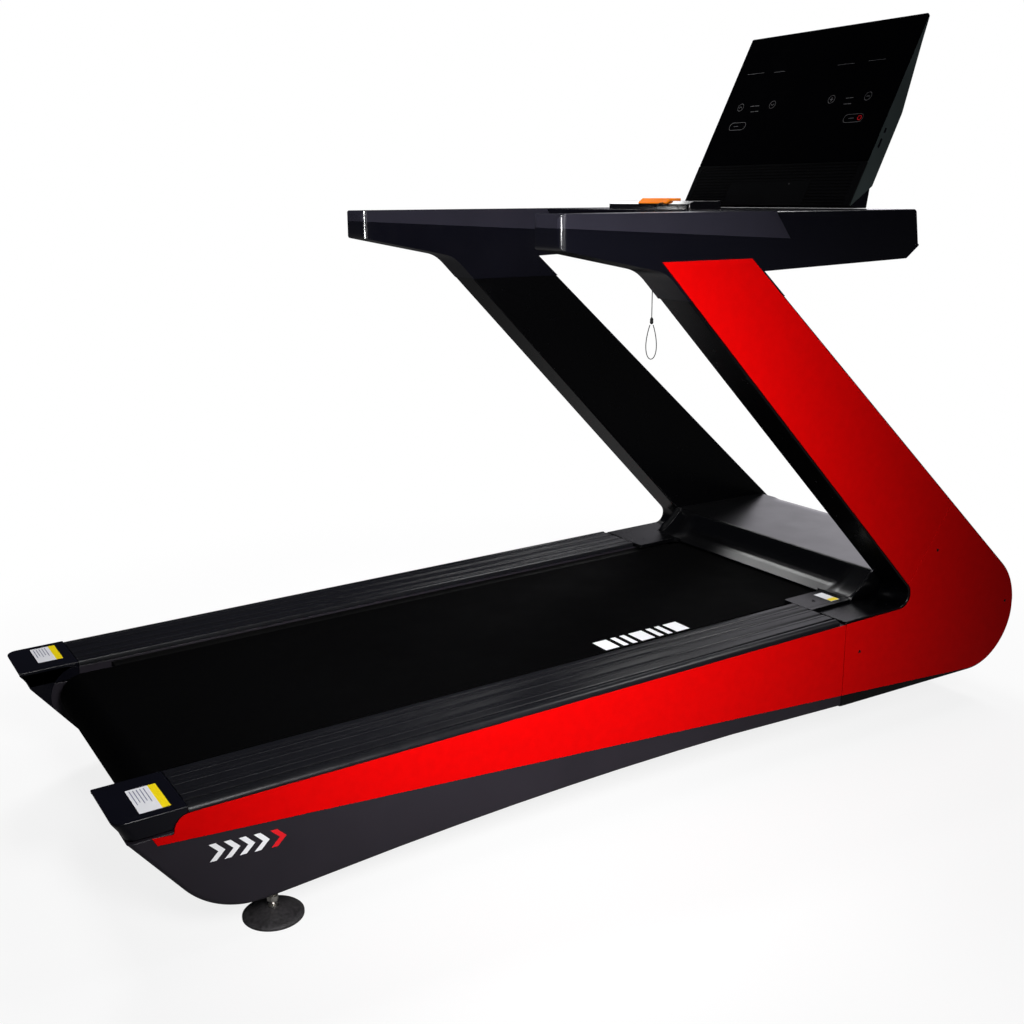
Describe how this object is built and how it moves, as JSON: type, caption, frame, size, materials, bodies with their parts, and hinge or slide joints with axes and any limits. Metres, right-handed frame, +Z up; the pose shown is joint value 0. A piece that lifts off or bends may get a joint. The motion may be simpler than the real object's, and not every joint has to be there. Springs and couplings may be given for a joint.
{
  "type": "treadmill",
  "caption": "Motorised treadmill: flat ribbed deck on a lift frame, Z-shaped red uprights, armrests and a leaning touch console with safety key.",
  "frame": {"origin": "middle of the base, on the floor under the centre of the bounding box", "axes": "+X forwards to the console, +Y to the left of the user, +Z up"},
  "size_m": [2.1999, 0.92, 1.6297],
  "materials": {
    "red_paint": "satin",
    "black_plastic": "fine-textured satin",
    "grey_plastic": "fine-textured satin",
    "gloss_black": "gloss",
    "screen_glass": "polished, opaque black backing",
    "rail_aluminium": "dark anodised, brushed",
    "belt_rubber": "fine texture",
    "frame_steel": "powder coat",
    "roller_steel": "turned",
    "chrome": "polished",
    "deck_wood": "board with smooth face",
    "black_rubber": "matte",
    "orange_plastic": "satin",
    "cord_black": "braided",
    "motor_metal": "cast, satin"
  },
  "bodies": {
    "frame": {"left_frame_rail": "frame_steel", "right_frame_rail": "frame_steel", "left_upright_post": "frame_steel", "right_upright_post": "frame_steel", "rear_crossmember": "frame_steel", "mid_crossmember": "frame_steel", "motor_mount": "frame_steel", "console_crossbeam": "frame_steel", "deck_board": "deck_wood", "running_belt": "belt_rubber", "left_foot_rail": "rail_aluminium", "right_foot_rail": "rail_aluminium", "left_end_cap": "black_plastic", "right_end_cap": "black_plastic", "left_rail_cover": "black_plastic", "right_rail_cover": "black_plastic", "left_upright_cover": "black_plastic", "right_upright_cover": "black_plastic", "motor_hood": "black_plastic", "front_cover": "black_plastic", "power_inlet": "black_plastic", "left_armrest_lower": "black_plastic", "right_armrest_lower": "black_plastic", "left_armrest_upper": "black_plastic", "right_armrest_upper": "black_plastic", "console_upper": "black_plastic", "console_lower": "black_plastic", "console_neck": "black_plastic", "console_grille": "black_plastic", "left_side_shell": "grey_plastic", "right_side_shell": "grey_plastic", "console_housing": "grey_plastic", "left_side_panel": "red_paint", "right_side_panel": "red_paint", "left_elbow_panel": "red_paint", "right_elbow_panel": "red_paint", "left_upright_panel": "red_paint", "right_upright_panel": "red_paint", "key_pod": "gloss_black", "console_glass": "screen_glass", "front_roller_axle": "chrome", "rear_roller_axle": "chrome", "drive_motor": "motor_metal", "motor_controller": "motor_metal", "drive_belt": "black_rubber"},
    "front_roller": {"front_roller": "roller_steel"},
    "rear_roller": {"rear_roller": "roller_steel"},
    "motor_rotor": {"motor_rotor": "roller_steel"},
    "lift_frame": {"lift_frame": "frame_steel"},
    "left_front_wheel": {"left_front_wheel": "black_rubber"},
    "right_front_wheel": {"right_front_wheel": "black_rubber"},
    "incline_motor": {"incline_motor": "motor_metal"},
    "incline_tube": {"incline_tube": "chrome"},
    "left_foot": {"left_foot": "black_rubber"},
    "right_foot": {"right_foot": "black_rubber"},
    "safety_key": {"safety_key": "orange_plastic", "safety_cord": "cord_black", "safety_cord_loop": "cord_black", "cord_knot": "cord_black"},
    "power_switch": {"power_switch": "black_plastic"}
  },
  "joints": [
    {"name": "front_roller_spin", "type": "hinge", "parent": "frame", "child": "front_roller", "pos_m": [0.68104, 0, 0.26082], "axis": [0, 1, 0], "continuous": true},
    {"name": "rear_roller_spin", "type": "hinge", "parent": "frame", "child": "rear_roller", "pos_m": [-0.98036, 0, 0.21629], "axis": [0, 1, 0], "continuous": true},
    {"name": "motor_rotor_spin", "type": "hinge", "parent": "frame", "child": "motor_rotor", "pos_m": [0.93, 0, 0.2685], "axis": [0, 1, 0], "continuous": true},
    {"name": "lift_frame_tilt", "type": "hinge", "parent": "frame", "child": "lift_frame", "pos_m": [0.15, 0, 0.155], "axis": [0, 1, 0], "range_deg": [0, 12]},
    {"name": "left_wheel_spin", "type": "hinge", "parent": "lift_frame", "child": "left_front_wheel", "pos_m": [0.8, 0.2405, 0.045], "axis": [0, 1, 0], "continuous": true},
    {"name": "right_wheel_spin", "type": "hinge", "parent": "lift_frame", "child": "right_front_wheel", "pos_m": [0.8, -0.2405, 0.045], "axis": [0, 1, 0], "continuous": true},
    {"name": "incline_motor_swing", "type": "hinge", "parent": "frame", "child": "incline_motor", "pos_m": [0.78, 0, 0.25], "axis": [0, 1, 0], "range_deg": [0, 7]},
    {"name": "incline_tube_slide", "type": "slide", "parent": "incline_motor", "child": "incline_tube", "axis": [0, 0, -1], "range_m": [0, 0.135]},
    {"name": "left_foot_adjust", "type": "slide", "parent": "frame", "child": "left_foot", "axis": [0, 0, -1], "range_m": [0, 0.015]},
    {"name": "right_foot_adjust", "type": "slide", "parent": "frame", "child": "right_foot", "axis": [0, 0, -1], "range_m": [0, 0.015]},
    {"name": "safety_key_pull", "type": "slide", "parent": "frame", "child": "safety_key", "axis": [0, 0, 1], "range_m": [0, 0.03]},
    {"name": "power_switch_rock", "type": "hinge", "parent": "frame", "child": "power_switch", "pos_m": [1.071, -0.288, 0.235], "axis": [0, 1, 0], "range_deg": [0, 14]}
  ],
  "couplings": [
    {"joint": "rear_roller_spin", "follows": "front_roller_spin", "ratio": 1},
    {"joint": "motor_rotor_spin", "follows": "front_roller_spin", "ratio": 2.2},
    {"joint": "incline_motor_swing", "follows": "lift_frame_tilt", "ratio": 0.482},
    {"joint": "incline_tube_slide", "follows": "lift_frame_tilt", "m_per_rad": 0.6257}
  ]
}
